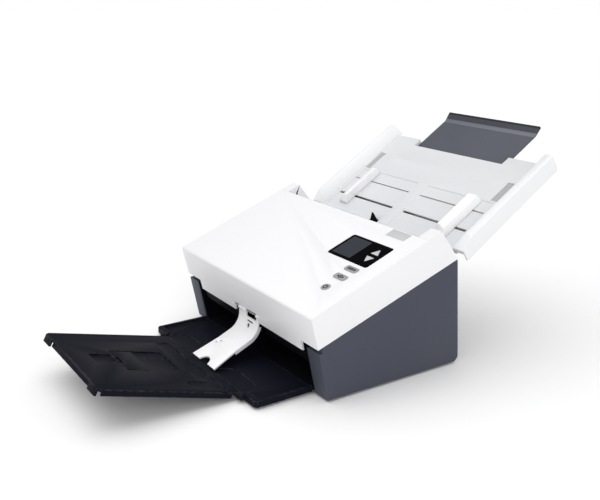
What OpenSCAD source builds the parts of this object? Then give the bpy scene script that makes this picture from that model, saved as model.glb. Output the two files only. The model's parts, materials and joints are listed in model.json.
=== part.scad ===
// Sheet fed document scanner with its trays open, in millimetres.
// +X is the operator's right, +Y is the back, +Z is up. The origin is on the table, under the
// middle of the whole with its trays open.

/* [Case] */
// Width over the two side covers
case_w = 316; // [314:0.5:318]
// Gap between the table and the underside of the case
case_z = 2.5; // [2.4:0.05:2.6]
// Width of the output bay, between the two front posts
bay_w = 266; // [266:0.5:267]
// Thickness of the moulded walls
wall = 2.5; // [2.4:0.1:2.7]
// Radius of the rounded rear foot of the side covers
foot_corner_r = 8; // [4:1:9]

/* [Top cover] */
// Height of the parting line at the front edge
part_front_z = 66.5; // [66.3:0.1:66.7]
// Slope of the parting line
part_angle = 19.1; // [19:0.1:19.2]
// Slope of the cover's top surface
cover_angle = 20.71; // [20.6:0.01:20.8]
// Width of the front skirt that hangs between the posts
skirt_w = 246; // [244:1:248]
// How far the cover opens
cover_open = 60; // [0:1:60]

/* [Input tray] */
// Slope of the input tray
tray_angle = 32.3; // [32:0.1:32.6]
// Height of the tray's side walls above its floor
tray_wall_h = 12; // [10:1:13]
// Distance from the middle to each paper guide
guide_x = 94.5; // [90:0.5:98]
// Length of the tray's floor
tray_len = 171; // [168:1:174]

/* [Output side] */
// Upward slope of the output extension
extension_angle = 15.5; // [14:0.5:16]
// Length of the output extension
extension_len = 162; // [150:1:165]
// Width of the paper arm at its hinge
arm_w = 47; // [44:1:48]

/* [Rollers] */
// Radius of the driven rubber tyres
tyre_r = 9; // [9:0.1:9.2]
// Radius of the roller shafts
shaft_r = 3; // [2.8:0.1:3.2]
// Radius of the free pinch rollers
pinch_r = 5.5; // [5:0.25:6]
// Radial clearance of a shaft in its bore
running_gap = 0.05; // [0.03:0.01:0.08]

/* [Hidden] */
$fn = 48;
gap = 0.3;

half_w = case_w / 2;
bay_x = bay_w / 2;
liner_t = 2;

// Distance from the origin, which is under the middle of the trays' full reach, to the
// middle of the case
case_y = 19.915;

// Case outline, seen from the right side
case_front = -98.2;
case_back = 98.2;
back_top_y = 88.3;
post_lean = 0.2;
ledge_z = 61;
cover_front = -111.4;
function part_z(y) = part_front_z + (y - cover_front) * tan(part_angle);
back_lean = (case_back - back_top_y) / (part_z(back_top_y) - case_z);
function back_y(z) = case_back - (z - case_z) * back_lean;
function post_y(z) = case_front - (z - case_z) * post_lean;

// Top cover outline
cover_top_y = -120.4;
cover_top_z = 105.2;
cover_back_u = 172;
cover_mid_y = cover_top_y + cover_back_u * cos(cover_angle);
cover_mid_z = cover_top_z + cover_back_u * sin(cover_angle);
ear_x = 140;
ear_top_y = 60.3;
ear_top_z = cover_top_z + (ear_top_y - cover_top_y) * tan(cover_angle);
skirt_z = 53.5;
skirt_y = -108.4;
notch_x0 = -30;
notch_x1 = 28.6;
notch_z = 65;

// Hinge line of the top cover, on the parting line just behind the front edge
hinge_y = -105.5;
hinge_z = 68.5;
hinge_pin_r = 1.75;
hinge_eye_r = 3.3;

// Paper path: exit point and slope; distances s run back along it and h up from it
exit_y = -105;
exit_z = 50.5;
path_angle = 18;
path_gap = 0.8;
guide_t = 2.5;
guide_half_w = 126;
upper_half_w = 121.5;
path_end_s = 130;
exit_s = 16;
lower_sensor_s = 42;
upper_sensor_s = 64;
drive_s = 92;
feed_s = 118;
nip = 0.2;
function path_y(s, h) = exit_y + s * cos(path_angle) - h * sin(path_angle);
function path_z(s, h) = exit_z + s * sin(path_angle) + h * cos(path_angle);
roller_h = -(tyre_r + nip);
shaft_s = [exit_s, drive_s, feed_s];
chassis_x = 127;
chassis_t = 1.2;
belt_x0 = 136;
belt_w = 6;
motor_y = 50;
motor_z = 36;
motor_pulley_r = 6;

// Input tray: its hinge line, and its frame u (up the slope) and w (off the floor)
tray_y = 94.7;
tray_z = 138.7;
tray_pivot_u = 2;
tray_pivot_w = -4;
tray_inner_x = 138;
slot_low_u = 37;
slot_high_u = 70.7;
pocket_u0 = 7;
pocket_u1 = 90;
pocket_x0 = 10;
pocket_x1 = 131;
sheet_half_w = 87;
sheet_w = -7;
sheet_t = 1.8;
pinion_u = 54;
pinion_teeth = 16;
pinion_r = 8;
rack_w0 = -6;
rack_w1 = -3.7;
flag_x = -18.5;
flag_u = 7;
flag_w = -3.5;
flag_half_w = 7.75;
flag_pin_r = 0.8;

// Output tray and extension
tray_top_z = 10.5;
tray_floor_z = 7.5;
tray_half_w = 129.5;
tray_corner_y = -174.4;
fold_y = -177.4;
fold_z = 6.5;
fold_pin_r = 1.5;
stop_y = -78;
stop_h = 1.5;
stop_pin_r = 0.7;

// Paper arm
arm_x = 4.5;
arm_y = -108.6;
arm_z = 61.5;
arm_bend_r = 25;
arm_bend_y = -108;
arm_bend_z = 55;
arm_slope = 24;
arm_t = 2;
arm_run = 55;
arm_pin_r = 0.9;

// A corner at p between faces whose outward normals point at a1 and a2, rounded to radius r
function corner(p, a1, a2, r, n = 6) =
    let (c = inset(p, a1, a2, r))
    [for (i = [0:n]) c + r * [cos(a1 + (a2 - a1) * i / n), sin(a1 + (a2 - a1) * i / n)]];
// The same corner moved inwards by d
function inset(p, a1, a2, d) =
    p - d * [cos(a1) + cos(a2), sin(a1) + sin(a2)] / (1 + cos(a1) * cos(a2) + sin(a1) * sin(a2));
function arc(c, r, a0, a1, n = 12) =
    [for (i = [0:n]) c + r * [cos(a0 + (a1 - a0) * i / n), sin(a0 + (a1 - a0) * i / n)]];

module along_x(x0, x1) {
    translate([x0, 0, 0]) rotate([90, 0, 90]) linear_extrude(x1 - x0) children();
}
module place() {
    translate([0, case_y, 0]) children();
}
module both_sides() {
    children();
    mirror([1, 0, 0]) children();
}
module rod(x0, x1, r) {
    translate([x0, 0, 0]) rotate([0, 90, 0]) cylinder(h = x1 - x0, r = r);
}
module box(x, y, z) {
    translate([x[0], y[0], z[0]]) cube([x[1] - x[0], y[1] - y[0], z[1] - z[0]]);
}
module on_path() {
    translate([0, exit_y, exit_z]) rotate([path_angle, 0, 0]) children();
}
module on_cover() {
    translate([0, cover_top_y, cover_top_z]) rotate([cover_angle, 0, 0]) children();
}
module on_tray() {
    translate([0, tray_y, tray_z]) rotate([tray_angle, 0, 0]) children();
}
module on_extension() {
    translate([0, fold_y, fold_z]) rotate([-extension_angle, 0, 0]) children();
}

// ---- Case ----

post_a = 180 + atan(post_lean);
back_a = atan(back_lean);
module side_outline(d) {
    top_a = 90 + part_angle;
    p_front = [post_y(case_z), case_z];
    p_back = [back_y(case_z), case_z];
    p_top = [back_top_y, part_z(back_top_y) - 0.4];
    post_top_y = -105.1;
    p_post = [post_top_y, part_z(post_top_y) - 0.4];
    polygon(concat(
        [inset(p_front, -90, post_a - 360, d)],
        corner(inset(p_back, -90, back_a, d), -90, back_a, foot_corner_r - d),
        [inset(p_top, back_a, top_a, d)],
        corner(inset(p_post, top_a, 180, d), top_a, 180, 5.5 - d),
        [[post_top_y + d, ledge_z - d], inset([post_y(ledge_z), ledge_z], 90, post_a, d)]));
}
module right_cover_shape() {
    difference() {
        along_x(bay_x, half_w) side_outline(0);
        along_x(bay_x - 1, half_w - 3) side_outline(wall);
    }
}
module right_side_cover() color("#50535f") place() right_cover_shape();
module left_side_cover() color("#50535f") place() mirror([1, 0, 0]) right_cover_shape();

jack_x = -60;
usb_x = -90;
port_z = 21;
rear_top = 128;
module rear_cover() color("#4b4e5a") place() difference() {
    along_x(-bay_x + gap, bay_x - gap) polygon([
        [back_y(case_z) - wall, case_z], [back_y(case_z), case_z],
        [back_y(rear_top), rear_top], [back_y(rear_top) - wall, rear_top]]);
    translate([jack_x, 80, port_z]) rotate([-90, 0, 0]) cylinder(h = 30, r = 5);
    box([usb_x - 6.5, usb_x + 6.5], [80, 110], [port_z - 6, port_z + 6]);
    box([97, 104], [80, 110], [19, 22]);
    for (i = [0:8]) box([-40 + i * 9, -36.5 + i * 9], [80, 110], [52, 84]);
}

foot_places = [[-118, -82], [118, -82], [-118, 80], [118, 80]];
screw_places = [[-96, -70], [96, -70], [-96, 60], [96, 60], [0, 78], [0, -70]];
module base_pan() color("#1d1f27") place() difference() {
    union() {
        box([-bay_x + gap, bay_x - gap], [-96, 94], [case_z, case_z + 2.5]);
        for (x = [-105, 60], y = [-12, 72]) translate([x, y, case_z]) cylinder(h = 9.3, r = 4);
    }
    for (p = foot_places) translate([p[0], p[1], 0]) cylinder(h = case_z + 1, r = 7.5);
    for (p = screw_places) translate([p[0], p[1], 0]) {
        cylinder(h = 10, r = 1.8);
        translate([0, 0, case_z - 0.5]) cylinder(h = 1.7, r = 3.4);
    }
    for (i = [-4:4]) box([i * 14 - 3, i * 14 + 3], [20, 55], [0, 10]);
}
module feet() color("#26272b") place()
    for (p = foot_places) translate([p[0], p[1], 0]) cylinder(h = case_z + 1, r = 7.4);
module case_screws() color("silver") place() for (p = screw_places) translate([p[0], p[1], 0]) {
    translate([0, 0, case_z - 0.3]) difference() {
        cylinder(h = 1.4, r = 3.2);
        translate([0, 0, -0.1]) cylinder(h = 0.9, r = 1.3, $fn = 6);
    }
    translate([0, 0, case_z + 1]) cylinder(h = 1.4, r = 1.7);
}

bay_roof_z = 37;
bay_back_y = -30;
module output_bay() color("#12131a") place() {
    floor_z = case_z + 2.5;
    along_x(-bay_x + liner_t, bay_x - liner_t) polygon([
        [-99, floor_z], [bay_back_y + 2.5, floor_z], [bay_back_y + 2.5, bay_roof_z],
        [-96.5, bay_roof_z], [-96.5, bay_roof_z - 2], [bay_back_y - 8, bay_roof_z - 2],
        [bay_back_y, bay_roof_z - 10], [bay_back_y, tray_floor_z + 3],
        [bay_back_y - 4, tray_floor_z], [-99, tray_floor_z]]);
    both_sides() difference() {
        along_x(bay_x - liner_t, bay_x) polygon([
            [post_y(case_z) + 0.5, floor_z], [bay_back_y + 2.5, floor_z],
            [bay_back_y + 2.5, ledge_z], [post_y(ledge_z) + 0.5, ledge_z]]);
        on_path() translate([0, exit_s, roller_h]) rod(bay_x - 5, bay_x + 1, shaft_r + 1);
    }
}

module tray_outline(d) polygon(concat(
    [[tray_half_w - d, -99.5], [-tray_half_w + d, -99.5],
        [-tray_half_w + d, tray_corner_y + d + 3], [-tray_half_w + 3 + d, tray_corner_y + d]],
    [for (i = [0:8]) let (t = -1 + i / 4) [t * 108, tray_corner_y + d - 5.6 * (1 - t * t)]],
    [[tray_half_w - 3 - d, tray_corner_y + d], [tray_half_w - d, tray_corner_y + d + 3]]));
module output_tray() color("#212230") place() {
    difference() {
        translate([0, 0, case_z + 0.5]) linear_extrude(tray_top_z - case_z - 0.5) tray_outline(0);
        difference() {
            translate([0, 0, tray_floor_z]) linear_extrude(10) tray_outline(3.5);
            box([-150, 150], [-200, -168], [0, 30]);
        }
        box([-100, 100], [-185, fold_y + 3.8], [0, 30]);
        box([-150, 150], [-100, -98], [tray_floor_z, 20]);
        box([-103, 103], [-176, -168], [tray_floor_z, 20]);
        both_sides() translate([0, 0, tray_floor_z - 0.8]) linear_extrude(5)
            polygon(concat([[101, -172], [24, -172]], arc([48, -172], 24, 180, 90),
                arc([77, -172], 24, 90, 0)));
    }
    both_sides() difference() {
        along_x(100, 106) polygon(concat([[-171, case_z + 0.5], [fold_y, case_z + 1]],
            arc([fold_y, fold_z], 3.6, -100, -260), [[-171, tray_top_z]]));
        translate([0, fold_y, fold_z]) rod(90, 110, fold_pin_r + running_gap);
    }
}

module roller_windows() {
    both_sides() {
        translate([0, feed_s, 0]) box([6, 30], [-8.5, 8.5], [-30, 30]);
        translate([0, drive_s, 0]) for (x = [30, 80]) box([x, x + 24], [-8.5, 8.5], [-30, 30]);
        translate([0, exit_s, 0]) box([42, 68], [-8.5, 8.5], [-30, 30]);
    }
}
module lower_guide() color("#1a1b22") place() on_path() difference() {
    union() {
        along_x(-guide_half_w, guide_half_w) polygon([
            [1, -path_gap], [path_end_s, -path_gap], [path_end_s, -path_gap - guide_t],
            [3.5, -path_gap - guide_t], [3.5, -11.5], [1, -11.5]]);
        both_sides() difference() {
            box([guide_half_w - 2.5, guide_half_w], [1, path_end_s], [-11.5, -path_gap]);
            for (s = shaft_s) translate([0, s, roller_h]) rod(110, 140, shaft_r + 1);
        }
        both_sides() for (s = [30, 104]) translate([0, s, -8]) rod(guide_half_w - 1, chassis_x, 2.5);
        for (i = [-5:5]) box([i * 22 - 0.6, i * 22 + 0.6], [76, 82], [-path_gap, -0.3]);
    }
    roller_windows();
    translate([0, lower_sensor_s, 0]) box([-115, 115], [-6.5, 6.5], [-10, 5]);
    box([arm_x - 28, arm_x + 28], [-5, 12], [-30, 5]);
}
module feed_ramp() color("#e9eaec") place() difference() {
    union() {
        on_tray() along_x(-guide_half_w, guide_half_w)
            polygon([[-88, 0], [-2.5, 0], [-2.2, -3], [-88, -3]]);
        on_tray() box([-bay_x + gap, bay_x - gap], [-17, -2.5], [-2.8, 0]);
        both_sides() on_tray() difference() {
            along_x(guide_half_w - 0.5, guide_half_w + 4) polygon(concat(
                [[-17, 0], [-17, -2.8], [-9, -4.8], [-2, -8]],
                arc([tray_pivot_u, tray_pivot_w], 4, -90, 60, 8), [[-2.5, -0.5]]));
            translate([0, tray_pivot_u, tray_pivot_w]) rod(120, 140, 2 + running_gap);
        }
    }
    on_tray() box([-30, 30], [-100, -86], [-10, 5]);
}

module chassis_shape() {
    difference() {
        along_x(chassis_x, chassis_x + chassis_t) difference() {
            union() {
                polygon([[-96, 38.5], [-26.5, 38.5], [-26.5, 8], [78, 8], [78, 112], [60, 108], [44, 109],
                    [28, 107], [-60, part_z(-60) - 2], [-96, 70]]);
                polygon([[-96, 62], [-96, 71], [hinge_y, hinge_z + 3.2], [hinge_y, hinge_z - 3.2]]);
                translate([hinge_y, hinge_z]) circle(r = hinge_eye_r);
            }
            translate([hinge_y, hinge_z]) circle(r = hinge_pin_r + running_gap);
            for (s = shaft_s) translate([path_y(s, roller_h), path_z(s, roller_h)])
                circle(r = shaft_r + running_gap);
            translate([motor_y, motor_z]) circle(r = 4);
        }
    }
    along_x(chassis_x - 5, chassis_x) translate([34, 104]) circle(r = 2, $fn = 24);
}
module right_chassis() color("#b9bcc0") place() chassis_shape();
module left_chassis() color("#b9bcc0") place() mirror([1, 0, 0]) chassis_shape();

module cover_hinge_pins() color("silver") place() both_sides()
    translate([0, hinge_y, hinge_z]) rod(120.5, chassis_x + 4, hinge_pin_r);

// ---- Electronics and drive ----

module main_board() color("#1f5a3a") place() {
    box([-110, 66], [-18, 78], [case_z + 9.3, case_z + 10.9]);
    box([-40, -16], [10, 34], [case_z + 10.9, case_z + 13]);
    box([6, 24], [14, 32], [case_z + 10.9, case_z + 13.4]);
    for (i = [0:3]) translate([-90 + i * 14, -4, case_z + 10.9]) cylinder(h = 9, r = 4, $fn = 24);
    box([34, 58], [-14, -8], [case_z + 10.9, case_z + 18]);
}
module power_jack() color("#202020") place() difference() {
    union() {
        box([jack_x - 5, jack_x + 5], [78, 92], [case_z + 10.9, port_z + 5]);
        translate([jack_x, 90, port_z]) rotate([-90, 0, 0]) cylinder(h = 6, r = 4.8);
    }
    translate([jack_x, 84, port_z]) rotate([-90, 0, 0]) cylinder(h = 20, r = 3.2);
}
module usb_port() color("silver") place() difference() {
    box([usb_x - 6, usb_x + 6], [78, 95.5], [port_z - 5.5, port_z + 5.5]);
    box([usb_x - 4.2, usb_x + 4.2], [84, 100], [port_z - 4, port_z + 4]);
}
module drive_motor() color("#8d9094") place() translate([0, motor_y, motor_z]) {
    rod(84, chassis_x, 19);
    rod(chassis_x, chassis_x + 3, 3.8);
    rod(80, 84, 8);
}
module motor_pulley() color("#d8c48a") place() translate([0, motor_y, motor_z]) {
    rod(chassis_x + 3.5, belt_x0 + belt_w + 1.4, 2);
    rod(belt_x0 - 0.2, belt_x0 + belt_w + 0.2, motor_pulley_r);
    rod(belt_x0 - 1.4, belt_x0 - 0.2, motor_pulley_r + 1.5);
    rod(belt_x0 + belt_w + 0.2, belt_x0 + belt_w + 1.4, motor_pulley_r + 1.5);
}
module belt_loop(d) hull() {
    for (s = [exit_s, feed_s]) translate([path_y(s, roller_h), path_z(s, roller_h)])
        circle(r = tyre_r + d);
    translate([motor_y, motor_z]) circle(r = motor_pulley_r + d);
}
module drive_belt() color("#23232a") place() along_x(belt_x0 + 0.2, belt_x0 + belt_w - 0.2) difference() {
    belt_loop(1.4);
    belt_loop(gap);
}
module roller_shaft(s) color("#9a9da2") place() on_path() translate([0, s, roller_h]) {
    rod(-chassis_x - chassis_t - 1.5, belt_x0 + belt_w + 1.4, shaft_r);
    rod(belt_x0 - 0.2, belt_x0 + belt_w + 0.2, tyre_r);
    rod(belt_x0 - 1.4, belt_x0 - 0.2, tyre_r + 1);
    rod(belt_x0 + belt_w + 0.2, belt_x0 + belt_w + 1.4, tyre_r + 1);
}
module tyre(s, h, x0, x1, r, bore_r) on_path() translate([0, s, h]) difference() {
    rod(x0, x1, r);
    rod(x0 - 1, x1 + 1, bore_r);
}
module tyre_pair(s, h, x0, x1, bore_r) {
    tyre(s, h, x0, x1, tyre_r, bore_r);
    tyre(s, h, -x1, -x0, tyre_r, bore_r);
}
module feed_shaft() roller_shaft(feed_s);
module drive_shaft() roller_shaft(drive_s);
module exit_shaft() roller_shaft(exit_s);
module feed_tyres() color("#2b2b2e") place() tyre_pair(feed_s, roller_h, 8, 28, shaft_r);
module drive_tyres() color("#2b2b2e") place() {
    tyre_pair(drive_s, roller_h, 32, 52, shaft_r);
    tyre_pair(drive_s, roller_h, 82, 102, shaft_r);
}
module exit_tyres() color("#2b2b2e") place() tyre_pair(exit_s, roller_h, 44, 66, shaft_r);

module lower_sensor() color("#17181c") place() on_path() translate([0, lower_sensor_s, 0])
    box([-114.5, 114.5], [-6, 6], [-15, -3.2]);
module lower_glass() color("#8fb0b8") place() on_path() translate([0, lower_sensor_s, 0])
    box([-114.5, 114.5], [-6, 6], [-3, -path_gap - 0.1]);

// ---- Top cover ----

front_a = 193.16;
top_a = 90 + cover_angle;
mid_back_a = 4;
module cover_outline(d) {
    drop = d > 0 ? 6 : 0;
    f0 = [cover_front, part_front_z];
    m0 = [44, part_z(44)];
    polygon(concat(
        [[f0[0] + d, f0[1] - drop], [m0[0] - d, m0[1] - drop]],
        [inset([cover_mid_y, cover_mid_z], mid_back_a, top_a, d)],
        corner(inset([cover_top_y, cover_top_z], top_a, front_a, d), top_a, front_a, 3.5 - d)));
}
module ear_outline(d) {
    polygon([
        [30, part_z(30) - (d > 0 ? 6 : 0)], [back_top_y - d * 2, part_z(back_top_y) - (d > 0 ? 6 : 0)],
        [back_top_y - d * 1.6, part_z(back_top_y)],
        inset([ear_top_y, ear_top_z], 36, top_a, d),
        [30, cover_top_z + (30 - cover_top_y) * tan(cover_angle) - d / cos(cover_angle)]]);
}
module cover_slab(x, u, w) on_cover() box(x, u, w);
module key_triangle(u0, u1, d, h0, h1) on_cover() translate([0, 0, h0]) linear_extrude(h1 - h0)
    polygon([[113.9 - d * 1.6, u0 - d * sign(u1 - u0)], [126.7 + d * 1.6, u0 - d * sign(u1 - u0)],
        [120.3, u1 + d * 1.9 * sign(u1 - u0)]]);
module rounded_plan(x, u, r) polygon(concat(
    corner([x[0], u[0]], 180, 270, r), corner([x[1], u[0]], 270, 360, r),
    corner([x[1], u[1]], 0, 90, r), corner([x[0], u[1]], 90, 180, r)));
// Buttons: middle x, middle distance up the cover, length, width and corner radius
scan_place = [120.2, 86, 21.6, 8.8, 3];
stop_place = [120.6, 69.2, 21.4, 9.4, 3.4];
power_place = [121, 47, 12, 10.4, 5];
module button_plan(p, d) {
    x = p[2] / 2 + d;
    u = p[3] / 2 + d;
    translate([p[0], p[1]]) rounded_plan([-x, x], [-u, u], p[4] + d);
}
module button_hole(p) on_cover() translate([0, 0, -6]) linear_extrude(10) button_plan(p, gap);
module button_cap(p) color("#a9abae") place() on_cover() {
    translate([0, 0, -3.6]) linear_extrude(4.2) button_plan(p, 0);
    translate([p[0], p[1], -6.5]) cylinder(h = 3, r = 2);
}
window_x = [58.2, 134.3];
window_u = [96, 139.7];
screen_x = [62, 97];
screen_u = [100.5, 137];
pad_x = [97.5, 130.6];
pad_u = [157, 170.4];
module top_cover() color("#f2f2f4") place() difference() {
    union() {
        difference() {
            along_x(-half_w, half_w) cover_outline(0);
            along_x(-half_w + 3, half_w - 3) cover_outline(wall);
        }
        both_sides() difference() {
            along_x(ear_x, half_w) ear_outline(0);
            along_x(ear_x + wall, half_w - 3) ear_outline(wall);
        }
        along_x(-skirt_w / 2, skirt_w / 2) polygon([
            [cover_front, part_front_z], [skirt_y, skirt_z], [skirt_y + wall, skirt_z],
            [cover_front + wall, part_front_z + 2]]);
        translate([0, arm_y, arm_z]) rod(notch_x0 - 4, notch_x1 + 4, 2.1);
    }
    box([notch_x0, notch_x1], [-120, -100], [40, notch_z]);
    translate([0, arm_y, arm_z]) rod(notch_x0 - 2, notch_x1 + 2, arm_pin_r + running_gap);
    on_cover() translate([0, 0, -1.7]) linear_extrude(6.7) window_plan(gap);
    cover_slab(screen_x, screen_u, [-8, 5]);
    for (k = [[120.1, 130], [114.6, 104.7]]) key_triangle(k[0], k[1], gap, -8, 5);
    button_hole(scan_place);
    button_hole(stop_place);
    button_hole(power_place);
    cover_slab([pad_x[0] - gap, pad_x[1] + gap], [pad_u[0] - gap, pad_u[1] + gap], [-8, 5]);
}
module window_plan(d) rounded_plan([window_x[0] - d, window_x[1] + d],
    [window_u[0] - d, window_u[1] + d], 3.2 + d);
module display_window() color("#0c0c10") place() difference() {
    on_cover() translate([0, 0, -1.6]) linear_extrude(1.6) window_plan(0);
    cover_slab(screen_x, screen_u, [-8, 5]);
    for (k = [[120.1, 130], [114.6, 104.7]]) key_triangle(k[0], k[1], gap, -8, 5);
}
module lcd_module() color("#4d4f5c") place() {
    cover_slab([60, 99], [98.5, 139], [-7.8, -2.8]);
    cover_slab([screen_x[0] + gap, screen_x[1] - gap], [screen_u[0] + gap, screen_u[1] - gap],
        [-2.8, -0.2]);
}
module panel_board() color("#1f5a3a") place() cover_slab([56, 136], [38, 144], [-9.4, -7.8]);
module up_key() color("#c9cbcd") place() key_triangle(120.1, 130, 0, -4, 0.4);
module down_key() color("#c9cbcd") place() key_triangle(114.6, 104.7, 0, -4, 0.4);
module scan_button() button_cap(scan_place);
module stop_button() button_cap(stop_place);
module power_button() button_cap(power_place);
module release_pad() color("#c5cbcb") place() {
    cover_slab(pad_x, pad_u, [-3, -0.1]);
    cover_slab([112, 116], [158, 161], [-10, -3]);
}

module upper_guide() color("#17181f") place() difference() {
    union() {
        on_path() along_x(-upper_half_w, upper_half_w) polygon([
            [0.3, path_gap], [126, path_gap], [163, 17.5], [161.2, 19.7],
            [125.3, path_gap + guide_t], [0.3, path_gap + guide_t]]);
        both_sides() on_path() along_x(upper_half_w - 2.5, upper_half_w) polygon([
            [0.3, path_gap], [126, path_gap], [158, 15.4], [157, 31], [120, 34], [12, 22], [3, 13]]);
        both_sides() {
            box([upper_half_w - 4, upper_half_w], [-99, -92], [66, 110]);
            box([upper_half_w - 4, upper_half_w], [19, 24], [105, 155]);
        }
        both_sides() along_x(upper_half_w - 1, chassis_x - 0.5)
            translate([hinge_y, hinge_z]) circle(r = hinge_eye_r - gap);
        both_sides() on_path() {
            box([34, 37.5], [feed_s - 6, feed_s + 6], [2, 15]);
            box([105, 109], [drive_s - 4, drive_s + 4], [2, 10]);
            box([105, 109], [exit_s - 4, exit_s + 4], [2, 10]);
        }
    }
    on_path() roller_windows();
    on_path() translate([0, upper_sensor_s, 0]) box([-115, 115], [-6.5, 6.5], [-1, 10]);
    on_path() translate([0, feed_s, tyre_r + nip]) rod(-40, 40, 2.5 + running_gap);
    for (s = [drive_s, exit_s]) on_path() translate([0, s, pinch_r + nip])
        rod(-112, 112, 1.5 + running_gap);
    translate([0, hinge_y, hinge_z]) rod(-140, 140, hinge_pin_r + running_gap);
    on_path() translate([0, 146, 26]) rod(-140, 140, latch_r + running_gap);
}
module upper_sensor() color("#17181c") place() on_path() translate([0, upper_sensor_s, 0])
    box([-114.5, 114.5], [-6, 6], [3.2, 15]);
module upper_glass() color("#8fb0b8") place() on_path() translate([0, upper_sensor_s, 0])
    box([-114.5, 114.5], [-6, 6], [path_gap + 0.1, 3]);
module reverse_shaft() color("#9a9da2") place() on_path() translate([0, feed_s, tyre_r + nip])
    rod(-38, 38, 2.5);
module reverse_tyres() color("#56585c") place() tyre_pair(feed_s, tyre_r + nip, 8, 28, 2.5);
module pinch_roller(s, spans) color("#e6e6e6") place() on_path() translate([0, s, pinch_r + nip]) {
    rod(-110, 110, 1.5);
    for (p = spans) {
        rod(p[0], p[1], pinch_r);
        rod(-p[1], -p[0], pinch_r);
    }
}
module drive_pinch_roller() pinch_roller(drive_s, [[33, 51], [83, 101]]);
module exit_pinch_roller() pinch_roller(exit_s, [[45, 65]]);
module pinch_springs() color("silver") place() both_sides() on_path() for (s = [drive_s, exit_s])
    along_x(70, 76) polygon([
        [s - 12, 3.5], [s - 12, 4.2], [s - 3, 8.2], [s + 3, 8.2],
        [s + 3, 7.8], [s - 2.8, 7.6], [s - 10, 3.5]]);
latch_r = 2.5;
latch_y = path_y(146, 26);
latch_z = path_z(146, 26);
module latch_bar() color("#b9bcc0") place() {
    translate([0, latch_y, latch_z]) rod(-upper_half_w - 3.2, upper_half_w + 3.2, latch_r);
    both_sides() along_x(upper_half_w + 0.6, upper_half_w + 3.2) union() {
        translate([latch_y, latch_z]) circle(r = 5);
        polygon([[latch_y - 4, latch_z], [latch_y + 4, latch_z], [29, 103], [28.6, 101.4],
            [31.4, 101], [29.5, 97.5], [25, 98.5], [24, 104]]);
    }
    along_x(110, 117) polygon([[latch_y - 2, latch_z], [latch_y + 2, latch_z - 1],
        [34.5, 149], [34.5, 150.8], [30.5, 150.8]]);
}

// ---- Paper arm ----

module arm_pin() color("silver") place() translate([0, arm_y, arm_z])
    rod(notch_x0 - 1.5, notch_x1 + 1.5, arm_pin_r);
arm_tip_w = 57;
arm_c = [arm_bend_y - arm_bend_r, arm_bend_z];
arm_end_a = arm_slope - 90;
arm_up = [-sin(arm_slope), cos(arm_slope)];
arm_tip = arm_c + arm_bend_r * [cos(arm_end_a), sin(arm_end_a)]
    - arm_run * [cos(arm_slope), sin(arm_slope)];
module arm_strip(d) polygon(concat(
    [[arm_bend_y + d, arm_z]], arc(arm_c, arm_bend_r + d, 0, arm_end_a),
    [arm_tip - d * arm_up], [arm_tip + arm_t * arm_up],
    arc(arm_c, arm_bend_r - arm_t, arm_end_a, 0), [[arm_bend_y - arm_t, arm_z]]));
module paper_arm() color("#f4f4f5") place() {
    difference() {
        union() {
            intersection() {
                along_x(arm_x - arm_tip_w / 2, arm_x + arm_tip_w / 2) arm_strip(0);
                translate([arm_x, 0, 0]) linear_extrude(80) polygon([
                    [-arm_w / 2, -100], [arm_w / 2, -100], [arm_w / 2, -140],
                    [arm_tip_w / 2, -176], [-arm_tip_w / 2, -176], [-arm_w / 2, -140]]);
            }
            intersection() {
                along_x(arm_x + arm_w / 2 - 1.6, arm_x + arm_w / 2) arm_strip(3.2);
                box([-50, 50], [-142, -100], [0, 48]);
            }
            translate([0, arm_y, arm_z]) rod(arm_x - arm_w / 2, arm_x + arm_w / 2, 2.6);
        }
        translate([0, arm_y, arm_z]) rod(-60, 60, arm_pin_r + running_gap);
        box([-1, 23], [-120, -100], [54.5, 80]);
        translate([arm_x, -176, 0]) cylinder(h = 60, r = 10.5);
        translate([arm_x - 10.5, -190, 0]) cube([21, 14, 60]);
        box([1, 16], [-114, -106.5], [48.6, 51]);
        translate([7, -100, 44.6]) rotate([90, 0, 0]) cylinder(h = 20, r = 2.8);
        for (k = [[-13.5, -146], [-8.5, -141.5]]) translate([k[0], k[1], 10]) cylinder(h = 30, r = 1.5);
    }
}

// ---- Output extension ----

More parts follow.
